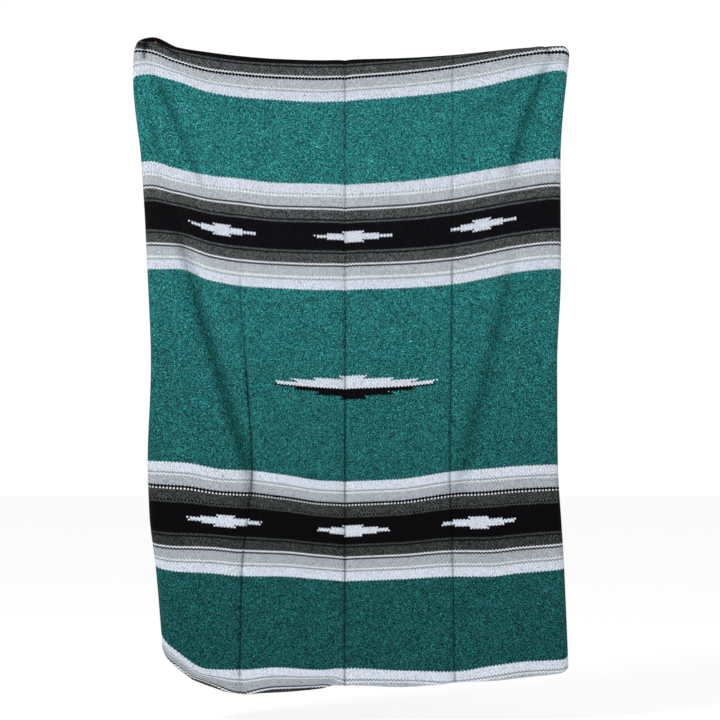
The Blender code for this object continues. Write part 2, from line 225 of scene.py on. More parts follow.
# %% [markdown]
# ## From woven places to places in space
#
# `smooth` draws a curve through a table's values without overshooting them, which keeps a sagging
# line from rippling. The next functions turn the sheet round its level edges and its selvages, so
# one rule gives the front, the part that is turned over and the part that is turned back. The rows
# run closer together in the turns, and the columns closer at the selvages and creases.

# %% Reading a table smoothly
def smooth(stations, values, at):
    """Values between the stations, on cubic stretches that never overshoot them."""
    stations = np.asarray(stations, float)
    values = np.asarray(values, float)
    gaps = np.diff(stations)
    rises = np.diff(values) / gaps
    slopes = np.concatenate([rises[:1], np.zeros(len(rises) - 1), rises[-1:]])
    steady = rises[:-1] * rises[1:] > 0
    sums = np.where(steady, rises[:-1] + rises[1:], 1.0)
    slopes[1:-1] = np.where(steady, 2 * rises[:-1] * rises[1:] / sums, 0.0)
    at = np.clip(at, stations[0], stations[-1])
    place = np.clip(np.searchsorted(stations, at) - 1, 0, len(gaps) - 1)
    share = (at - stations[place]) / gaps[place]
    rest = 1 - share
    start = rest ** 2 * (1 + 2 * share) * values[place]
    end = share ** 2 * (1 + 2 * rest) * values[place + 1]
    bend = share * rest * gaps[place] * (rest * slopes[place] - share * slopes[place + 1])
    return start + end + bend


# %% How deep the folds and the cloth's own unevenness are
UNEVEN = {"slow": (1.1, 1 / 110), "quick": (0.45, 1 / 34)}


def fold_depth(across, down, folds, sharp):
    """Depth of all the folds of one table at woven places, sharp ones with a notched bottom."""
    depth = np.zeros_like(down)
    for fold in folds.values():
        run = np.array([fold.across_1 - fold.across_0, fold.down_1 - fold.down_0], float)
        length = np.hypot(*run)
        run /= length
        along = (across - fold.across_0) * run[0] + (down - fold.down_0) * run[1]
        aside = (across - fold.across_0) * run[1] - (down - fold.down_0) * run[0]
        past_end = np.maximum(np.maximum(-along, along - length), 0)
        fade = fold.half_width * FOLD_FADE_WIDTHS
        if not sharp:
            fade = max(fade, length * FOLD_FADE_SHARE)
        power = NOTCH_POWER if sharp else ROUND_POWER
        sides = np.abs(aside / fold.half_width) ** power
        depth += fold.depth * np.exp(-sides - (past_end / fade) ** 2)
    return depth


def kink_low(across, down):
    """How much lower the kinks put each woven place of one column."""
    low = np.zeros_like(down)
    for kink in KINKS.values():
        beside = math.exp(-abs(across - kink.across) / kink.reach)
        low += kink.low * beside * np.exp(-((down - kink.at) / kink.fade) ** 2)
    return low


def unevenness(across, down):
    """How far the yarn's own stiffness pushes the sheet in and out."""
    depth = np.zeros_like(down)
    for size, fineness in UNEVEN.values():
        depth += [size * noise.noise((across * fineness, place * fineness, size)) for place in down]
    return depth


# %% Turning round a level edge and round a selvage
def turn_over(past, low, radius, way):
    """How low and how far behind the front a sheet lies, past the start of a level turn."""
    angle = np.clip(past / radius, 0, math.pi)
    straight = np.maximum(past - math.pi * radius, 0)
    height = low + way * (radius * (1 - np.sin(angle)) + straight)
    behind = radius * (1 - np.cos(angle))
    return height, behind


def round_edge(past, radius, behind):
    """How far out and back a place lies, past the start of an upright edge that turns back."""
    angle = min(past / radius, math.pi)
    straight = past - angle * radius
    inner = radius - behind
    return inner * math.sin(angle) - straight, radius - inner * math.cos(angle)


def place_across(across, behind, outline, stand_off):
    """X and Y of one place, from the section of the sheet at its own height."""
    left_start = outline.left_turned + math.pi / 2 * outline.left_radius
    right_start = WOVEN_WIDTH - outline.right_turned - math.pi / 2 * outline.right_radius
    left_x = outline.left + outline.left_radius
    right_x = outline.right - outline.right_radius
    if across < left_start:
        out, back = round_edge(left_start - across, outline.left_radius, behind)
        return left_x - out, back - stand_off.left
    if across > right_start:
        out, back = round_edge(across - right_start, outline.right_radius, behind)
        return right_x + out, back - stand_off.right
    stations = (left_start, LEFT_CREASE, MIDDLE_CREASE, RIGHT_CREASE, right_start)
    front = (left_x, outline.left_crease, outline.middle, outline.right_crease, right_x)
    return smooth(stations, front, across), behind - smooth(stations, stand_off, across)


# %% Rows and columns of the sheet
ROW_SPACING = 10.6
CORNER_ROW_SPACING = 5.5
TURN_ROWS = 8
# Where each stretch of columns starts, and how far apart they are in it
COLUMN_STRETCHES = {
    "left_turned_back": (0, 5),
    "left_troughs": (130, 7),
    "left_crease": (LEFT_CREASE - CREASE_SIDE, 2.5),
    "left_plain": (LEFT_CREASE + CREASE_SIDE, 8),
    "middle_crease": (MIDDLE_CREASE - CREASE_SIDE, 2.5),
    "right_plain": (MIDDLE_CREASE + CREASE_SIDE, 8),
    "right_crease": (RIGHT_CREASE - CREASE_SIDE, 2.5),
    "right_troughs": (RIGHT_CREASE + CREASE_SIDE, 7),
    "right_turned_back": (1170, 5),
}
LEFT_NAIL_LOW = -11
RIGHT_NAIL_LOW = 7
HANG_LOW = (LEFT_NAIL_LOW + RIGHT_NAIL_LOW) / 2


def rows_down(top_start, top_end, bottom_start, bottom_end):
    """Woven distances down one column, with the same count of rows in every column."""
    breaks = [0, top_start, top_end, *LINES_LOW, bottom_start, bottom_end, WOVEN_LENGTH]
    typical = [0, TOP_FOLD_AT.middle, TOP_FOLD_AT.middle, *LINES_LOW, BOTTOM_FOLD_AT.middle,
               BOTTOM_FOLD_AT.middle, WOVEN_LENGTH]
    down = [0.0]
    for place, (start, end) in enumerate(zip(breaks, breaks[1:])):
        length = typical[place + 1] - typical[place]
        spacing = CORNER_ROW_SPACING if typical[place + 1] <= TOP_BORDER else ROW_SPACING
        rows = math.ceil(length / spacing) if length else TURN_ROWS
        down += list(np.linspace(start, end, rows + 1)[1:])
    return np.array(down)


def woven_columns():
    """Distances across the woven width, closest at the selvages and the creases."""
    starts = [start for start, _ in COLUMN_STRETCHES.values()] + [WOVEN_WIDTH]
    columns = [0.0]
    for start, end, (_, spacing) in zip(starts, starts[1:], COLUMN_STRETCHES.values()):
        columns += list(np.linspace(start, end, round((end - start) / spacing) + 1)[1:])
    return columns


# %% One column of the sheet
def column_points(across):
    """The woven distances down one column, and its points in millimetres, top end to bottom end."""
    top_at, bottom_at, top_low, bottom_low = (
        smooth(ACROSS, row, across)
        for row in (TOP_FOLD_AT, BOTTOM_FOLD_AT, TOP_FOLD_LOW, BOTTOM_FOLD_LOW))
    top_arc = math.pi / 2 * TOP_RADIUS
    bottom_arc = math.pi / 2 * BOTTOM_RADIUS
    top_turn = top_at + top_arc
    bottom_turn = bottom_at - bottom_arc
    down = rows_down(top_at - top_arc, top_turn, bottom_turn, bottom_at + bottom_arc)

    lines_low = [smooth(ACROSS, row, across) for row in LINES_LOW.values()]
    front_low = [top_low + TOP_RADIUS, *lines_low, bottom_low - BOTTOM_RADIUS]
    low = smooth([top_turn, *LINES_LOW, bottom_turn], front_low, down)
    behind = np.zeros_like(down)
    over = down < top_turn
    under = down > bottom_turn
    low[over], behind[over] = turn_over(top_turn - down[over], top_low, TOP_RADIUS, 1)
    low[under], behind[under] = turn_over(
        down[under] - bottom_turn, bottom_low, BOTTOM_RADIUS, -1)
    low += kink_low(across, down)

    # What is turned over follows the section of the front that hangs at its own height
    level = np.maximum(down, 2 * top_at - down)
    level = np.minimum(level, 2 * bottom_at - level)
    outline = [smooth(list(OUTLINE), values, level) for values in zip(*OUTLINE.values())]
    stand_off = [smooth(list(STAND_OFF), values, level) for values in zip(*STAND_OFF.values())]
    places = [
        place_across(across, back, Outline(*section), StandOff(*off))
        for back, section, off in zip(behind, zip(*outline), zip(*stand_off))]
    x, y = np.array(places).T
    pinched = fold_depth(across, level, PINCHES, False)
    fold_depth_and_shade = fold_depth(across, level, PRESSED_CREASES, True)
    y += fold_depth(across, level, SOFT_FOLDS, False) + pinched + fold_depth_and_shade
    y += unevenness(across, level)
    # The last value is how deep the folds are where the weave gets painted shade: the pressed
    # creases and a share of the pinches
    return down, np.stack([x, y, HANG_LOW - low], 1), fold_depth_and_shade + PINCH_SHADE_SHARE * pinched


# %% [markdown]
# ## The woven panel
#
# The panel is a grid of faces through those columns, thickened to a closed shell by Solidify. Each
# corner of a face keeps its woven place in a UV map, in metres, because the stripes belong to the
# yarn and not to the space around it: however the cloth hangs, a stripe stays on its own threads.

# %% Build the sheet
def add_object(name, mesh, finish):
    """An object of this mesh in the scene."""
    made = bpy.data.objects.new(name, mesh)
    bpy.context.scene.collection.objects.link(made)
    mesh.materials.append(finish)
    return made


def woven_sheet():
    """The sheet's mesh, its woven places in a UV map, and the edges and weft directions kept."""
    across = woven_columns()
    made = [column_points(place) for place in across]
    rows = len(made[0][0])
    points = np.array([points for _, points, _ in made]) * MM
    places = np.array([[(place * MM, step * MM) for step in down]
                       for place, (down, _, _) in zip(across, made)])
    fold_depth_and_shade = np.concatenate([depth for _, _, depth in made])
    columns = np.arange(len(across) - 1)[:, None] * rows
    near = (columns + np.arange(rows - 1)[None, :]).ravel()
    faces = np.stack([near, near + 1, near + rows + 1, near + rows], 1)
    mesh = bpy.data.meshes.new("woven_panel")
    mesh.from_pydata(points.reshape(-1, 3).tolist(), [], faces.tolist())
    woven = mesh.uv_layers.new(name="woven")
    woven.data.foreach_set("uv", places.reshape(-1, 2)[faces.ravel()].ravel())
    weft = np.gradient(points, axis=0)
    weft /= np.linalg.norm(weft, axis=2, keepdims=True)
    mesh.attributes.new("weft", "FLOAT_VECTOR", "POINT").data.foreach_set("vector", weft.ravel())
    # Each point keeps that fold depth, which sets the painted shade in creases and troughs
    mesh.attributes.new("fold_depth_and_shade", "FLOAT", "POINT").data.foreach_set("value", fold_depth_and_shade)
    mesh.shade_smooth()
    return mesh, points, places


sheet_mesh, sheet_points, sheet_places = woven_sheet()
print("woven panel:", len(sheet_mesh.polygons), "faces in", sheet_points.shape[:2],
      "columns and rows")

# %% [markdown]
# ## The weave as a material
#
# The yarn is coarse and soft: recycled cotton and acrylic, carded with all its odd fibres, so a
# green yarn has teal, white, straw and black specks in it. It is woven as a plain weave that the
# weft nearly covers. Over each warp thread every second weft row makes a bead about 4.8 mm long and
# 4.8 mm high, and the next warp thread carries the rows in between. So a stripe's border is never a
# straight line: it steps up and down by one row from thread to thread. The material finds the bead
# that each place belongs to, then looks up the stripe for the middle of that bead, and the steps
# come by themselves.

# %% Colours and one helper for nodes
WARP_PITCH = 4.75
WEFT_PITCH = 2.4
BEAD_HEIGHT = 2 * WEFT_PITCH


def linear(code):
    """A colour in linear light, from its sRGB hex value."""
    parts = [int(code[place:place + 2], 16) / 255 for place in (1, 3, 5)]
    return (*[part / 12.92 if part <= 0.04045 else ((part + 0.055) / 1.055) ** 2.4
              for part in parts], 1.0)


def add_node(tree, kind, inputs=(), **settings):
    """One node with its settings. inputs maps a socket to a value or to another node's output."""
    node = tree.nodes.new(kind)
    for name, value in settings.items():
        setattr(node, name, value)
    for socket, value in dict(inputs).items():
        if isinstance(value, bpy.types.NodeSocket):
            tree.links.new(value, node.inputs[socket])
        else:
            node.inputs[socket].default_value = value
    return node.outputs[0] if len(node.outputs) else node


def fill_ramp(ramp, stops):
    """Set a colour ramp's stops from (position, colour) pairs."""
    for place, (position, colour) in enumerate(stops):
        stop = ramp.elements[place] if place < 2 else ramp.elements.new(position)
        stop.position = position
        stop.color = colour


# %% The yarns
Yarn = namedtuple("Yarn", "colour heather")
MOST_HEATHER = 1.5
GREEN = Yarn("#286f70", 1.2)
WHITE = Yarn("#e6eefb", 0.2)
LIGHT_GREY = Yarn("#c1c9d1", 0.3)
PALE = Yarn("#eef4fa", 0.1)
MID_GREY = Yarn("#565a5c", 0.7)
SOFT_GREY = Yarn("#b3bbc2", 0.3)
CHARCOAL = Yarn("#454848", 1.2)
BLACK = Yarn("#0e0e11", 0.8)

# A stripe's outer side as a distance from the middle of its band, in millimetres
BAND_STRIPES = (
    (0, BLACK), (39.6, MID_GREY), (44.4, BLACK), (49.2, CHARCOAL), (75.6, PALE), (80.4, BLACK),
    (85.2, LIGHT_GREY), (112.4, PALE), (117.2, SOFT_GREY), (122, WHITE), (148.5, GREEN))
RAMP_REACH = 200
CENTRE_TO_BAND = CENTRE - (BAND_2_START + BAND / 2)
CENTRE_TO_END_BAND = CENTRE - (END_BAND - BAND / 2)

# %% [markdown]
# ## Stepped diamonds
#
# Small stepped diamonds are a traditional ornament of this kind of weaving, laid in by hand with a
# second weft. Each level is a block of rows, and its outermost rows reach furthest, which gives the
# little horns. One ramp says how far a diamond reaches sideways for each distance from its middle
# row, and a bead is part of it where it lies nearer than that.

# %% The diamonds' levels, in millimetres
Level = namedtuple("Level", "height inner tip")
Diamond = namedtuple("Diamond", "across width")
SMALL_LEVELS = (Level(4.2, 104, 115), Level(9, 67, 77), Level(16.2, 21, 33))
LARGE_LEVELS = (Level(7, 226, 246), Level(15.4, 166, 188), Level(24.2, 102, 121),
                Level(33, 28, 41))
BAND_2_DIAMONDS = (Diamond(284, 0.87), Diamond(659, 1.0), Diamond(1025, 0.86))
BAND_3_DIAMONDS = (Diamond(273, 0.92), Diamond(659, 0.95), Diamond(1017, 0.92))
LARGE_ACROSS = 659
LARGE_BLACK_FROM = 2.3
# The ramp ends a little short of 1, so that it holds its last stop, and a step takes this much
RAMP_END = 0.98
RAMP_STEP = 0.001


def reach_stops(levels):
    """Ramp stops for how far a diamond reaches, over its greatest height and reach."""
    tallest, widest = levels[-1].height, levels[0].tip
    stops, low = [], 0.0
    for level in levels:
        for place, reach in ((low / tallest * RAMP_END, level.inner),
                             (level.height / tallest * RAMP_END - RAMP_STEP, level.tip)):
            stops.append((place, (reach / widest,) * 3 + (1.0,)))
        low = level.height
    return stops + [(RAMP_END, (0.0, 0.0, 0.0, 1.0))]


# %% The woven material: which bead a place belongs to
weave = bpy.data.materials.new("green_heather_handweave")
weave.use_nodes = True
tree = weave.node_tree
MATH = "ShaderNodeMath"
woven_place = add_node(tree, "ShaderNodeUVMap", uv_map="woven")
parts = add_node(tree, "ShaderNodeSeparateXYZ", {0: woven_place}).node
across, down = parts.outputs[0], parts.outputs[1]
thread_place = add_node(tree, MATH, {0: across, 1: WARP_PITCH * MM}, operation="DIVIDE")
thread = add_node(tree, MATH, {0: thread_place}, operation="FLOOR")
in_thread = add_node(tree, MATH, {0: thread_place}, operation="FRACT")
odd = add_node(tree, MATH, {0: thread, 1: 2.0}, operation="MODULO")
shift = add_node(tree, MATH, {0: odd, 1: 0.5}, operation="MULTIPLY")
row_place = add_node(tree, MATH, {0: down, 1: 1 / (BEAD_HEIGHT * MM), 2: shift},
                     operation="MULTIPLY_ADD")
bead = add_node(tree, MATH, {0: row_place}, operation="FLOOR")
in_bead = add_node(tree, MATH, {0: row_place}, operation="FRACT")
bead_row = add_node(tree, MATH, {0: bead, 1: shift}, operation="SUBTRACT")
bead_middle = add_node(tree, MATH, {0: bead_row, 1: 0.5}, operation="ADD")
bead_down = add_node(tree, MATH, {0: bead_middle, 1: BEAD_HEIGHT}, operation="MULTIPLY")
thread_middle = add_node(tree, MATH, {0: thread, 1: 0.5}, operation="ADD")
bead_across = add_node(tree, MATH, {0: thread_middle, 1: WARP_PITCH}, operation="MULTIPLY")

# %% The woven material: stripes
def distance_to(place, value):
    """How far a place lies from a value, whichever way."""
    signed = add_node(tree, MATH, {0: place, 1: value}, operation="SUBTRACT")
    return add_node(tree, MATH, {0: signed}, operation="ABSOLUTE")


from_centre = add_node(tree, MATH, {0: bead_down, 1: CENTRE}, operation="SUBTRACT")
to_centre = add_node(tree, MATH, {0: from_centre}, operation="ABSOLUTE")
distances = [distance_to(to_centre, place) for place in (CENTRE_TO_BAND, CENTRE_TO_END_BAND)]
to_band = add_node(tree, MATH, {0: distances[0], 1: distances[1]}, operation="MINIMUM")
stripe_place = add_node(tree, MATH, {0: to_band, 1: RAMP_REACH}, operation="DIVIDE")
stripes = add_node(tree, "ShaderNodeValToRGB", {0: stripe_place})
stripes.node.color_ramp.interpolation = "CONSTANT"
fill_ramp(stripes.node.color_ramp, [
    (start / RAMP_REACH, (*linear(yarn.colour)[:3], yarn.heather / MOST_HEATHER))
    for start, yarn in BAND_STRIPES])
stripe_heather = stripes.node.outputs["Alpha"]

# %% The woven material: diamonds
def inside_diamond(levels, sideways, height):
    """1 where a bead is part of a diamond, from its distances to the diamond's middle."""
    share = add_node(tree, MATH, {0: height, 1: levels[-1].height / RAMP_END},
                     operation="DIVIDE")
    reach = add_node(tree, "ShaderNodeValToRGB", {0: share})
    fill_ramp(reach.node.color_ramp, reach_stops(levels))
    limit = add_node(tree, MATH, {0: reach, 1: levels[0].tip}, operation="MULTIPLY")
    return add_node(tree, MATH, {0: sideways, 1: limit}, operation="LESS_THAN")


def sideways_to(diamonds):
    """Distance across to the nearest of a row of diamonds, each at its own width."""
    nearest = None
    for diamond in diamonds:
        signed = add_node(tree, MATH, {0: bead_across, 1: diamond.across}, operation="SUBTRACT")
        scaled = add_node(tree, MATH, {0: signed, 1: diamond.width}, operation="DIVIDE")
        size = add_node(tree, MATH, {0: scaled}, operation="ABSOLUTE")
        nearest = size if nearest is None else add_node(
            tree, MATH, {0: nearest, 1: size}, operation="MINIMUM")
    return nearest


lower_half = add_node(tree, MATH, {0: from_centre, 1: 0.0}, operation="GREATER_THAN")
small_sideways = add_node(
    tree, "ShaderNodeMix",
    {0: lower_half, 2: sideways_to(BAND_2_DIAMONDS), 3: sideways_to(BAND_3_DIAMONDS)})
small = inside_diamond(SMALL_LEVELS, small_sideways, distances[0])
large_sideways = sideways_to([Diamond(LARGE_ACROSS, 1.0)])
large = inside_diamond(LARGE_LEVELS, large_sideways, to_centre)
black_half = add_node(tree, MATH, {0: from_centre, 1: LARGE_BLACK_FROM},
                      operation="GREATER_THAN")
large_colour = add_node(
    tree, "ShaderNodeMix",
    {0: black_half, 6: linear(WHITE.colour), 7: linear(BLACK.colour)}, data_type="RGBA").node
with_large = add_node(
    tree, "ShaderNodeMix", {0: large, 6: stripes, 7: large_colour.outputs[2]},
    data_type="RGBA").node
pattern = add_node(
    tree, "ShaderNodeMix", {0: small, 6: with_large.outputs[2], 7: linear(WHITE.colour)},
    data_type="RGBA").node.outputs[2]
in_diamond = add_node(tree, MATH, {0: small, 1: large}, operation="MAXIMUM")
heather = add_node(tree, "ShaderNodeMix",
                   {0: in_diamond, 2: stripe_heather, 3: WHITE.heather / MOST_HEATHER})

# %% [markdown]
# ## Heather, flecks and the crowns of the beads
#
# Four scales of unevenness make the yarn look carded: the fibres in it differ from millimetre to
# millimetre, each bead has a shade of its own, a yarn's shade drifts along its row over a few
# centimetres, and the whole cloth is a little mottled. The stripe's own heather, kept in the ramp's
# alpha, says how strong that is: a white yarn hardly shows it, and charcoal, which is black and
# pale fibre carded together, shows it most. A few fibres in a thousand are of another colour.

# %% The woven material: chances that belong to a bead, a fibre and a place
FIBRE_LENGTH = 1.8
FIBRE_HEIGHT = 1.3
YARN_DRIFT = 14
MOTTLE = 60
BEAD_SWING = 0.15
FIBRE_SWING = 1.9
DRIFT_SWING = 0.1
MOTTLE_SWING = 0.12
ROW_APART = 7.31
BEAD_SEED, FIBRE_SEED, FLECK_SEED = 3.0, 5.0, 11.0


def cell_chance(first, second, seed):
    """White noise that is the same all over one cell, given by two whole numbers."""
    key = add_node(tree, "ShaderNodeCombineXYZ", {0: first, 1: second, 2: seed})
    return add_node(tree, "ShaderNodeTexWhiteNoise", {0: key}, noise_dimensions="3D").node


row_number = add_node(tree, MATH, {0: bead_row, 1: 2.0}, operation="MULTIPLY")
bead_chance = cell_chance(thread, row_number, BEAD_SEED)
fibre_cell = []
for place, size in ((across, FIBRE_LENGTH), (down, FIBRE_HEIGHT)):
    cell = add_node(tree, MATH, {0: place, 1: size * MM}, operation="DIVIDE")
    fibre_cell.append(add_node(tree, MATH, {0: cell}, operation="FLOOR"))
fibre_chance = cell_chance(*fibre_cell, FIBRE_SEED)
fleck_chance = cell_chance(*fibre_cell, FLECK_SEED)
drift_place = add_node(tree, MATH, {0: across, 1: YARN_DRIFT * MM}, operation="DIVIDE")
drift_row = add_node(tree, MATH, {0: row_number, 1: ROW_APART}, operation="MULTIPLY")
drift_key = add_node(tree, "ShaderNodeCombineXYZ", {0: drift_place, 1: drift_row, 2: 0.5})
drift = add_node(tree, "ShaderNodeTexNoise", {"Vector": drift_key, "Scale": 1.0, "Detail": 2.0})
cloth_key = add_node(tree, "ShaderNodeCombineXYZ", {0: across, 1: down, 2: 0.0})
mottle = add_node(tree, "ShaderNodeTexNoise",
                  {"Vector": cloth_key, "Scale": 1000 / MOTTLE, "Detail": 3.0})

# %% The woven material: heather, and bluer and yellower fibre in the green
FIBRE_TINTS = (("#ffe9b8", 0.0), ("#f4fbff", 0.5), ("#e0f4ff", 1.0))
shade = None
for chance, swing in ((bead_chance.outputs["Value"], BEAD_SWING),
                      (fibre_chance.outputs["Value"], FIBRE_SWING),
                      (drift, 2 * DRIFT_SWING), (mottle, 2 * MOTTLE_SWING)):
    swung = add_node(tree, MATH, {0: chance, 1: 2 * swing, 2: -swing}, operation="MULTIPLY_ADD")
    shade = swung if shade is None else add_node(tree, MATH, {0: shade, 1: swung},
                                                 operation="ADD")
shade = add_node(tree, MATH, {0: shade, 1: heather}, operation="MULTIPLY")
shade = add_node(tree, MATH, {0: shade, 1: MOST_HEATHER}, operation="MULTIPLY")
brightness = add_node(tree, MATH, {0: 2.0, 1: shade}, operation="POWER")
heathered = add_node(tree, "ShaderNodeVectorMath", {0: pattern, 1: brightness},
                     operation="MULTIPLY")
past_stripes = add_node(tree, MATH, {0: to_band, 1: BAND_STRIPES[-1][0]},
                        operation="GREATER_THAN")
in_green = add_node(tree, MATH, {0: past_stripes, 1: in_diamond}, operation="SUBTRACT")
in_green = add_node(tree, MATH, {0: in_green, 1: 0.0}, operation="MAXIMUM")
fibre_tints = add_node(tree, "ShaderNodeValToRGB", {0: fleck_chance.outputs["Color"]})
fill_ramp(fibre_tints.node.color_ramp,
          [(place, linear(code)) for code, place in FIBRE_TINTS])
tinted = add_node(tree, "ShaderNodeVectorMath", {0: heathered, 1: fibre_tints},
                  operation="MULTIPLY")
mixed = add_node(tree, "ShaderNodeMix", {0: in_green, 6: heathered, 7: tinted},
                 data_type="RGBA").node.outputs[2]

# %% The woven material: dark flecks in every yarn, and bright and odd ones in green
FLECK_SHARE = 0.004
BRIGHT_SHARE = 0.02
BRIGHT_SHADE = 2.3
DARK_SHARE = 0.055
DARK_SHADE = 0.32
FLECKS = (("#2fb3a6", 0.0), ("#59c9c2", 0.45), ("#8fc7b9", 0.7), ("#6f9a6a", 0.86),
          ("#13a06c", 0.92))
fleck_colour = add_node(tree, "ShaderNodeValToRGB", {0: fibre_chance.outputs["Color"]})
fleck_colour.node.color_ramp.interpolation = "CONSTANT"
fill_ramp(fleck_colour.node.color_ramp, [(place, linear(code)) for code, place in FLECKS])
is_fleck = add_node(tree, MATH, {0: fleck_chance.outputs["Value"], 1: 1 - FLECK_SHARE},
                    operation="GREATER_THAN")
is_dark = add_node(tree, MATH, {0: fleck_chance.outputs["Value"], 1: DARK_SHARE},
                   operation="LESS_THAN")
is_bright = add_node(
    tree, MATH, {0: fleck_chance.outputs["Value"], 1: 1 - FLECK_SHARE - BRIGHT_SHARE},
    operation="GREATER_THAN")
darkened = add_node(tree, MATH, {0: is_dark, 1: DARK_SHADE - 1, 2: 1.0},
                    operation="MULTIPLY_ADD")
brightened = add_node(tree, MATH, {0: is_bright, 1: in_green}, operation="MULTIPLY")
brightened = add_node(tree, MATH, {0: brightened, 1: BRIGHT_SHADE - 1, 2: darkened},
                      operation="MULTIPLY_ADD")
speckled = add_node(tree, "ShaderNodeVectorMath", {0: mixed, 1: brightened},
                    operation="MULTIPLY")
fleck_amount = add_node(tree, MATH, {0: is_fleck, 1: in_green}, operation="MULTIPLY")
specked = add_node(tree, "ShaderNodeMix", {0: fleck_amount, 6: speckled, 7: fleck_colour},
                   data_type="RGBA").node.outputs[2]

# %% The woven material: crowns, painted shade in the hollows, creases and troughs and towards the bottom, and the fibre's finish
CREASE_DEPTH = 6.5
CREASE_SHADE = 0.28
# Painted shade: the darker yarns are darkened more and more towards the bottom, and pale yarns
# hardly at all
BOTTOM_SHADE_FROM = 350
BOTTOM_SHADE_TO = 1850
BOTTOM_SHADE = 0.44
FULL_SHADE_BELOW = 0.15
NO_SHADE_ABOVE = 0.7
THREAD_POWER = 0.5
BEAD_POWER = 0.6
HOLLOW_SHADE = 0.72
CROWN_LIGHT = 0.42
BEAD_RELIEF = 0.9
crowns = []
for part, power in ((in_thread, THREAD_POWER), (in_bead, BEAD_POWER)):
    turned = add_node(tree, MATH, {0: part, 1: math.pi}, operation="MULTIPLY")
    wave = add_node(tree, MATH, {0: turned}, operation="SINE")
    crowns.append(add_node(tree, MATH, {0: wave, 1: power}, operation="POWER"))
crown = add_node(tree, MATH, {0: crowns[0], 1: crowns[1]}, operation="MULTIPLY")
# Painted shade: the colour is darker in the hollows between the beads' crowns and full on the
# crowns
hollow = add_node(tree, MATH, {0: crown, 1: CROWN_LIGHT, 2: HOLLOW_SHADE},
                  operation="MULTIPLY_ADD")
# Painted shade: the colour is darkened where the pressed creases and pinch folds are deep
fold_depth_and_shade = add_node(tree, "ShaderNodeAttribute", attribute_name="fold_depth_and_shade").node.outputs["Fac"]
painted_crease_shade = add_node(tree, "ShaderNodeMapRange",
                   {0: fold_depth_and_shade, 1: 0.3, 2: CREASE_DEPTH, 3: 1.0, 4: CREASE_SHADE})
depth_shade = add_node(tree, MATH, {0: hollow, 1: painted_crease_shade}, operation="MULTIPLY")
shaded = add_node(tree, "ShaderNodeVectorMath", {0: specked, 1: depth_shade},
                  operation="MULTIPLY")
# Painted shade towards the bottom, strongest on the darkest yarns
downward_shade = add_node(tree, "ShaderNodeMapRange",
               {0: down, 1: BOTTOM_SHADE_FROM * MM, 2: BOTTOM_SHADE_TO * MM, 3: 1.0, 4: BOTTOM_SHADE},
               interpolation_type="SMOOTHSTEP")
paleness = add_node(tree, "ShaderNodeRGBToBW", {0: pattern})
shade_exponent = add_node(tree, "ShaderNodeMapRange",
                {0: paleness, 1: FULL_SHADE_BELOW, 2: NO_SHADE_ABOVE, 3: 1.0, 4: 0.0})
deeper = add_node(tree, MATH, {0: downward_shade, 1: shade_exponent}, operation="POWER")
final = add_node(tree, "ShaderNodeVectorMath", {0: shaded, 1: deeper}, operation="MULTIPLY")
bump = add_node(tree, "ShaderNodeBump",
                {"Height": crown, "Strength": 0.8, "Distance": BEAD_RELIEF * MM})
shader = tree.nodes["Principled BSDF"]
tree.links.new(final, shader.inputs["Base Color"])
tree.links.new(bump, shader.inputs["Normal"])
shader.inputs["Roughness"].default_value = 0.92
shader.inputs["Specular IOR Level"].default_value = 0.05
shader.inputs["Sheen Weight"].default_value = 0.03
shader.inputs["Sheen Roughness"].default_value = 0.5
print("weave material:", len(tree.nodes), "nodes")

# %% Put the sheet in the scene
blanket = add_object("woven_panel", sheet_mesh, weave)
wall = blanket.modifiers.new("wall", "SOLIDIFY")
wall.thickness = CLOTH_THICKNESS * MM
wall.offset = 0.0
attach(blanket, "root")
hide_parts("blanket_cloth")

# %% [markdown]
# ## The selvages and the ends
#
# At a selvage the weft turns round the outermost warp thread, so the edge is a row of small round
# loops, one for each bead of the weave. The two ends are turned to the back; they are overcast with
# the yarn of their own stripe, in one slanting stitch after another, so that the weave can't open.
# Both are one shape repeated along an edge of the sheet, which is what Geometry Nodes are for: the
# edge becomes a curve, the curve becomes points at even distances, and each point gets one copy.
# Each point also keeps its woven place, so every loop takes the colour of the stripe that it ends.

# %% Lines along the edges of the sheet
def edge_line(name, column, row):
    """A line along one edge of the sheet, with the woven place of each of its points."""
    points, places = sheet_points[column, row], sheet_places[column, row]
    mesh = bpy.data.meshes.new(name)
    mesh.from_pydata(points.tolist(), [(end - 1, end) for end in range(1, len(points))], [])
    woven = np.pad(places, ((0, 0), (0, 1))).ravel()
    mesh.attributes.new("woven_place", "FLOAT_VECTOR", "POINT").data.foreach_set("vector", woven)
    line = bpy.data.objects.new(name, mesh)
    bpy.context.scene.collection.objects.link(line)
    return line


# %% A tree of Geometry Nodes with named sizes, and the plain mesh that it makes
def open_tree(name, sizes):
    """An empty tree with one geometry in and out, and an input for each size in metres."""
    made = bpy.data.node_groups.new(name, "GeometryNodeTree")
    for way in ("INPUT", "OUTPUT"):
        made.interface.new_socket("Geometry", in_out=way, socket_type="NodeSocketGeometry")
    for size in sizes:
        made.interface.new_socket(size, in_out="INPUT", socket_type="NodeSocketFloat")
    return made, made.nodes.new("NodeGroupInput").outputs


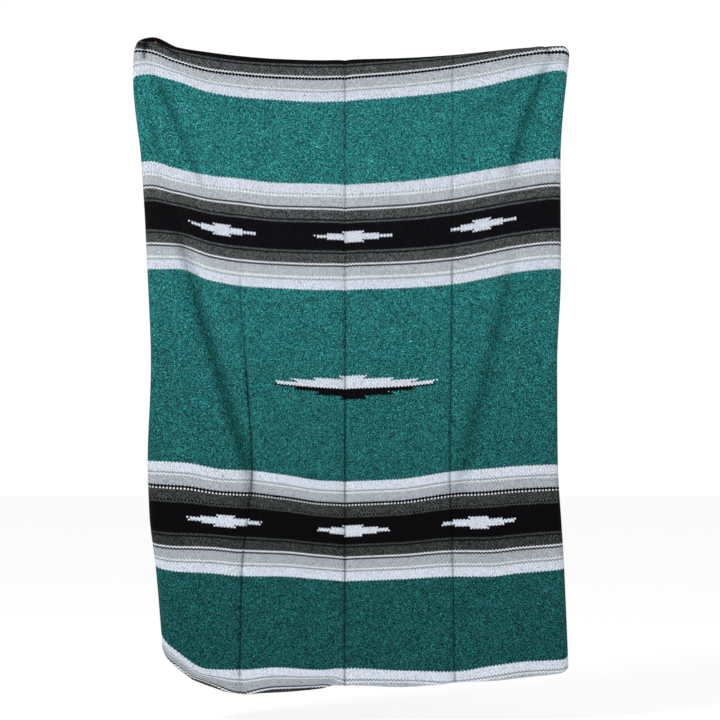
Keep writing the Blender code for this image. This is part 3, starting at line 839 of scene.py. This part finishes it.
def close_tree(made, copies, finish):
    """Make the copies real, give each its woven place as a UV map, and set the material."""
    solid = add_node(made, "GeometryNodeRealizeInstances", {0: copies})
    place = add_node(made, "GeometryNodeInputNamedAttribute", {"Name": "woven_place"},
                     data_type="FLOAT_VECTOR")
    mapped = add_node(made, "GeometryNodeStoreNamedAttribute",
                      {"Geometry": solid, "Name": "woven", "Value": place},
                      data_type="FLOAT2", domain="CORNER")
    rounded = add_node(made, "GeometryNodeSetShadeSmooth", {"Geometry": mapped})
    finished = add_node(made, "GeometryNodeSetMaterial", {"Geometry": rounded, "Material": finish})
    add_node(made, "NodeGroupOutput", {0: finished})


def spots_along(made, sizes):
    """Points at even distances along the edge that the tree is given, as a node's outputs."""
    curve = add_node(made, "GeometryNodeMeshToCurve", {0: sizes["Geometry"]})
    even = add_node(made, "GeometryNodeResampleCurve",
                    {"Curve": curve, "Length": sizes["Spacing"]}, mode="LENGTH")
    return add_node(made, "GeometryNodeCurveToPoints", {"Curve": even},
                    mode="EVALUATED").node.outputs


def grow(name, bases, made, sizes):
    """One object with the plain mesh that the tree makes on all the bases."""
    sockets = {item.name: item.identifier for item in made.interface.items_tree
               if item.in_out == "INPUT"}
    parts = []
    for base in bases:
        growing = base.modifiers.new(name, "NODES")
        growing.node_group = made
        for size, value in sizes.items():
            growing[sockets[size]] = value
        graph = bpy.context.evaluated_depsgraph_get()
        ready = base.evaluated_get(graph)
        parts.append(bpy.data.meshes.new_from_object(
            ready, preserve_all_data_layers=True, depsgraph=graph))
        base.modifiers.remove(growing)
        bpy.data.objects.remove(base)
    joined = bmesh.new()
    for part in parts:
        joined.from_mesh(part)
    joined.to_mesh(parts[0])
    joined.free()
    # The made mesh starts with the base's empty slot
    parts[0].materials.pop(index=0)
    grown = bpy.data.objects.new(name, parts[0])
    bpy.context.scene.collection.objects.link(grown)
    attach(grown, "root")
    print(name, "faces:", len(parts[0].polygons), "materials:", len(parts[0].materials))
    return grown


# %% Weft loops along both selvages
SIDES = 8
RINGS = 6
LOOP_SIZES = {"Spacing": BEAD_HEIGHT * MM, "Across": 3.6 * MM, "Thick": 2.5 * MM,
              "Long": 4.6 * MM}
loop_tree, sizes = open_tree("weft_loops", LOOP_SIZES)
spots = spots_along(loop_tree, sizes)
ball = add_node(loop_tree, "GeometryNodeMeshUVSphere",
                {"Segments": SIDES, "Rings": RINGS, "Radius": 0.5})
loop_size = add_node(loop_tree, "ShaderNodeCombineXYZ",
                     {0: sizes["Thick"], 1: sizes["Across"], 2: sizes["Long"]})
loop = add_node(loop_tree, "GeometryNodeTransform", {"Geometry": ball, "Scale": loop_size})
loops = add_node(loop_tree, "GeometryNodeInstanceOnPoints",
                 {"Points": spots["Points"], "Instance": loop, "Rotation": spots["Rotation"]})
close_tree(loop_tree, loops, weave)
selvage_lines = [edge_line("left_selvage", 0, slice(None)),
                 edge_line("right_selvage", -1, slice(None))]
selvage = grow("selvage_loops", selvage_lines, loop_tree, LOOP_SIZES)

# %% Overcast stitches along both ends
STITCH_SIZES = {"Spacing": 6.2 * MM, "Radius": 2.2 * MM, "Yarn": 0.75 * MM, "Slant": 0.45}
stitch_tree, sizes = open_tree("overcast_stitches", STITCH_SIZES)
spots = spots_along(stitch_tree, sizes)
ring_line = add_node(stitch_tree, "GeometryNodeCurvePrimitiveCircle",
                     {"Resolution": 10, "Radius": sizes["Radius"]})
yarn_section = add_node(stitch_tree, "GeometryNodeCurvePrimitiveCircle",
                        {"Resolution": 5, "Radius": sizes["Yarn"]})
ring = add_node(stitch_tree, "GeometryNodeCurveToMesh",
                {"Curve": ring_line, "Profile Curve": yarn_section})
tilt = add_node(stitch_tree, "ShaderNodeCombineXYZ", {0: sizes["Slant"]})
slanted = add_node(stitch_tree, "GeometryNodeTransform", {"Geometry": ring, "Rotation": tilt})
stitches = add_node(stitch_tree, "GeometryNodeInstanceOnPoints",
                    {"Points": spots["Points"], "Instance": slanted,
                     "Rotation": spots["Rotation"]})
close_tree(stitch_tree, stitches, weave)
end_lines = [edge_line("top_end", slice(None), 0), edge_line("bottom_end", slice(None), -1)]
overcast_ends = grow("overcast_ends", end_lines, stitch_tree, STITCH_SIZES)

# %% [markdown]
# ## Slubs
#
# Recycled yarn isn't even: here and there a short thick place, a slub, stands proud of the weave on
# one face or the other. They lie along the weft. Points are strewn over the sheet with a fixed
# seed, each one is lifted nearly to one face or the other, and a small spindle is put there.

# %% Slubs strewn over both faces
SLUB_SIZES = {"Per square metre": 320.0, "Lift": 1.0 * MM, "Across": 7.5 * MM,
              "High": 2.7 * MM, "Thick": 1.9 * MM}
SLUB_SEED = 7
SLUB_LEAST = (0.6, 0.8, 0.8)
SLUB_MOST = (1.5, 1.15, 1.1)
slub_tree, sizes = open_tree("yarn_slubs", SLUB_SIZES)
strewn = add_node(slub_tree, "GeometryNodeDistributePointsOnFaces",
                  {"Mesh": sizes["Geometry"], "Density": sizes["Per square metre"],
                   "Seed": SLUB_SEED}).node.outputs
side_chance = add_node(slub_tree, "FunctionNodeRandomValue",
                       {"Min": -1.0, "Max": 1.0, "Seed": SLUB_SEED + 1}, data_type="FLOAT")
side_of_sheet = add_node(slub_tree, MATH, {0: side_chance}, operation="SIGN")
lift = add_node(slub_tree, MATH, {0: side_of_sheet, 1: sizes["Lift"]}, operation="MULTIPLY")
outward = add_node(slub_tree, "ShaderNodeVectorMath", {0: strewn["Normal"], 3: lift},
                   operation="SCALE")
lifted = add_node(slub_tree, "GeometryNodeSetPosition",
                  {"Geometry": strewn["Points"], "Offset": outward})
weft_way = add_node(slub_tree, "GeometryNodeInputNamedAttribute", {"Name": "weft"},
                    data_type="FLOAT_VECTOR")
turned_to_weft = add_node(slub_tree, "FunctionNodeAlignRotationToVector",
                          {"Rotation": strewn["Rotation"], "Vector": weft_way}, axis="X")
spindle_size = add_node(slub_tree, "ShaderNodeCombineXYZ",
                        {0: sizes["Across"], 1: sizes["High"], 2: sizes["Thick"]})
spindle_ball = add_node(slub_tree, "GeometryNodeMeshUVSphere",
                        {"Segments": SIDES, "Rings": RINGS, "Radius": 0.5})
spindle_upright = add_node(slub_tree, "GeometryNodeTransform",
                           {"Geometry": spindle_ball, "Rotation": (0.0, math.pi / 2, 0.0)})
spindle = add_node(slub_tree, "GeometryNodeTransform",
                   {"Geometry": spindle_upright, "Scale": spindle_size})
slub_scale = add_node(slub_tree, "FunctionNodeRandomValue",
                      {"Min": SLUB_LEAST, "Max": SLUB_MOST, "Seed": SLUB_SEED + 2},
                      data_type="FLOAT_VECTOR")
spindles = add_node(slub_tree, "GeometryNodeInstanceOnPoints",
                    {"Points": lifted, "Instance": spindle, "Rotation": turned_to_weft,
                     "Scale": slub_scale})
close_tree(slub_tree, spindles, weave)


def slub_ground():
    """The whole sheet as its own object, with the woven place kept on each of its points."""
    ground = bpy.data.objects.new("slub_ground", sheet_mesh.copy())
    places = np.pad(sheet_places.reshape(-1, 2), ((0, 0), (0, 1))).ravel()
    kept = ground.data.attributes.new("woven_place", "FLOAT_VECTOR", "POINT")
    kept.data.foreach_set("vector", places)
    bpy.context.scene.collection.objects.link(ground)
    return ground


slubs = grow("yarn_slubs", [slub_ground()], slub_tree, SLUB_SIZES)

# %% [markdown]
# ## The nails
#
# Two plain wire nails carry the upper corners. The left one goes through both layers and its head
# shows as a small rust-brown round spot; the right one is inside the fold. A nail is a turned
# shape: one outline, spun round its own axis, with the head's rim rounded as it is when it is
# forged. The iron is rusty all over, so its colour is patchy and it hardly shines.

# %% Rusty iron
rust = bpy.data.materials.new("rusty_iron")
rust.use_nodes = True
rust_tree = rust.node_tree
RUST_PATCH = 2.4
rust_place = add_node(rust_tree, "ShaderNodeTexCoord").node.outputs["Object"]
patches = add_node(rust_tree, "ShaderNodeTexNoise",
                   {"Vector": rust_place, "Scale": 1000 / RUST_PATCH, "Detail": 4.0})
rust_ramp = add_node(rust_tree, "ShaderNodeValToRGB", {0: patches})
fill_ramp(rust_ramp.node.color_ramp,
          [(0.3, linear("#33221a")), (0.55, linear("#7b4a2a")), (0.75, linear("#a56a3c"))])
rust_finish = rust_tree.nodes["Principled BSDF"]
rust_tree.links.new(rust_ramp, rust_finish.inputs["Base Color"])
rust_finish.inputs["Roughness"].default_value = 0.8
rust_finish.inputs["Metallic"].default_value = 0.15

# %% Turn each nail to its packed size
NAIL_SHANK_RADIUS = 2.0
NAIL_HEAD_THICKNESS = 1.6
NAIL_SIDES = 48
NAIL_SHARP_ANGLE = 40
NAIL_DOUBLES = 0.001
HeadPoint = namedtuple("HeadPoint", "in_from_rim in_from_end")
HEAD_OUTLINE = (
    HeadPoint(0.4, NAIL_HEAD_THICKNESS), HeadPoint(0, 1.2), HeadPoint(0, 0.8),
    HeadPoint(0.3, 0.35), HeadPoint(1.1, 0.1))


def nail(name):
    """A wire nail in the place and size of its node in the frame, with a slightly domed head."""
    corners = np.array(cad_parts[name].bound_box) / MM
    low, high = corners.min(0), corners.max(0)
    head, length = (high[0] - low[0]) / 2, high[1] - low[1]
    under_head = length - NAIL_HEAD_THICKNESS
    profile = [(0, 0), (NAIL_SHANK_RADIUS, 0), (NAIL_SHANK_RADIUS, under_head)]
    profile += [(head - point.in_from_rim, length - point.in_from_end)
                for point in HEAD_OUTLINE]
    profile.append((0, length))
    shape = bmesh.new()
    outline = [shape.verts.new((radius, -out, 0)) for radius, out in profile]
    edges = [shape.edges.new(pair) for pair in zip(outline, outline[1:])]
    bmesh.ops.spin(shape, geom=outline + edges, cent=(0, 0, 0), axis=(0, 1, 0),
                   angle=math.tau, steps=NAIL_SIDES, use_merge=True)
    bmesh.ops.remove_doubles(shape, verts=shape.verts, dist=NAIL_DOUBLES)
    bmesh.ops.recalc_face_normals(shape, faces=shape.faces)
    mesh = bpy.data.meshes.new(name)
    shape.to_mesh(mesh)
    shape.free()
    middle = (low + high) / 2
    mesh.transform(Matrix.Scale(MM, 4) @ Matrix.Translation((middle[0], high[1], middle[2])))
    mesh.shade_smooth()
    mesh.set_sharp_from_angle(angle=math.radians(NAIL_SHARP_ANGLE))
    made = add_object(name + "_turned", mesh, rust)
    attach(made, "root")
    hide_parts(name)
    print(name, "is", round(length, 1), "mm long with a head", round(2 * head, 1), "mm across")


NAILS = ("nail_left", "nail_right")
for nail_name in NAILS:
    nail(nail_name)

# %% [markdown]
# ## Floor, light and camera
#
# The floor is a pale sheet below the hem. The main light is a big soft box high on the left, far
# enough off to light the whole cloth alike, so each trough is dark on the side that turns away. A
# weak one stands on the right, and an even pale room light fills the rest. The camera looks
# straight at the middle of the picture, from so far off that it hardly narrows with distance.

# %% Floor and room
FLOOR_DOWN = 1930
FLOOR_SIDE = 40
ROOM_LIGHT = 0.22
paper = bpy.data.materials.new("matt_white_paper")
paper.use_nodes = True
paper_finish = paper.node_tree.nodes["Principled BSDF"]
paper_finish.inputs["Base Color"].default_value = linear("#f6f6f6")
paper_finish.inputs["Roughness"].default_value = 0.9
paper_finish.inputs["Emission Color"].default_value = linear("#ffffff")
paper_finish.inputs["Emission Strength"].default_value = 0.75
floor_mesh = bpy.data.meshes.new("floor")
side = FLOOR_SIDE / 2
floor_mesh.from_pydata([(-side, -side, 0), (side, -side, 0), (side, side, 0), (-side, side, 0)],
                       [], [(0, 1, 2, 3)])
floor_mesh.transform(Matrix.Translation((0, 0, -FLOOR_DOWN * MM)))
add_object("floor", floor_mesh, paper)
room = bpy.data.worlds.new("pale_room")
bpy.context.scene.world = room
room.use_nodes = True
room_tree = room.node_tree
room_light = room_tree.nodes["Background"]
room_light.inputs["Color"].default_value = (1.0, 1.0, 1.0, 1.0)
seen = add_node(room_tree, "ShaderNodeLightPath")
add_node(room_tree, "ShaderNodeMapRange", {0: seen, 3: ROOM_LIGHT, 4: 1.0})
room_tree.links.new(room_tree.nodes["Map Range"].outputs[0], room_light.inputs["Strength"])
bpy.context.scene.view_settings.view_transform = "Standard"

# %% Soft boxes
Box = namedtuple("Box", "place aim size power")
SOFT_BOXES = {
    "key": Box((-4.0, -5.4, 3.0), (0.0, 0.0, -0.9), 1.8, 168),
    "fill": Box((2.2, -5.0, 0.4), (0.0, 0.0, -0.8), 2.2, 16),
}
for name, box in SOFT_BOXES.items():
    light = bpy.data.lights.new(name, "AREA")
    light.shape = "SQUARE"
    light.size = box.size
    light.energy = box.power
    lamp = bpy.data.objects.new(name, light)
    bpy.context.scene.collection.objects.link(lamp)
    lamp.location = box.place
    way = Vector(box.aim) - Vector(box.place)
    lamp.rotation_euler = way.to_track_quat("-Z", "Y").to_euler()

# %% Camera
VIEW_MIDDLE = (20.7, -50, -895.5)
VIEW_SIDE = 2052
VIEW_DISTANCE = 12000
SENSOR = 36
lens = bpy.data.cameras.new("front_view")
lens.sensor_width = SENSOR
lens.lens = SENSOR * VIEW_DISTANCE / VIEW_SIDE
camera = bpy.data.objects.new("front_view", lens)
bpy.context.scene.collection.objects.link(camera)
camera.location = Vector((VIEW_MIDDLE[0], VIEW_MIDDLE[1] - VIEW_DISTANCE, VIEW_MIDDLE[2])) * MM
camera.rotation_euler = (math.pi / 2, 0, 0)
bpy.context.scene.camera = camera
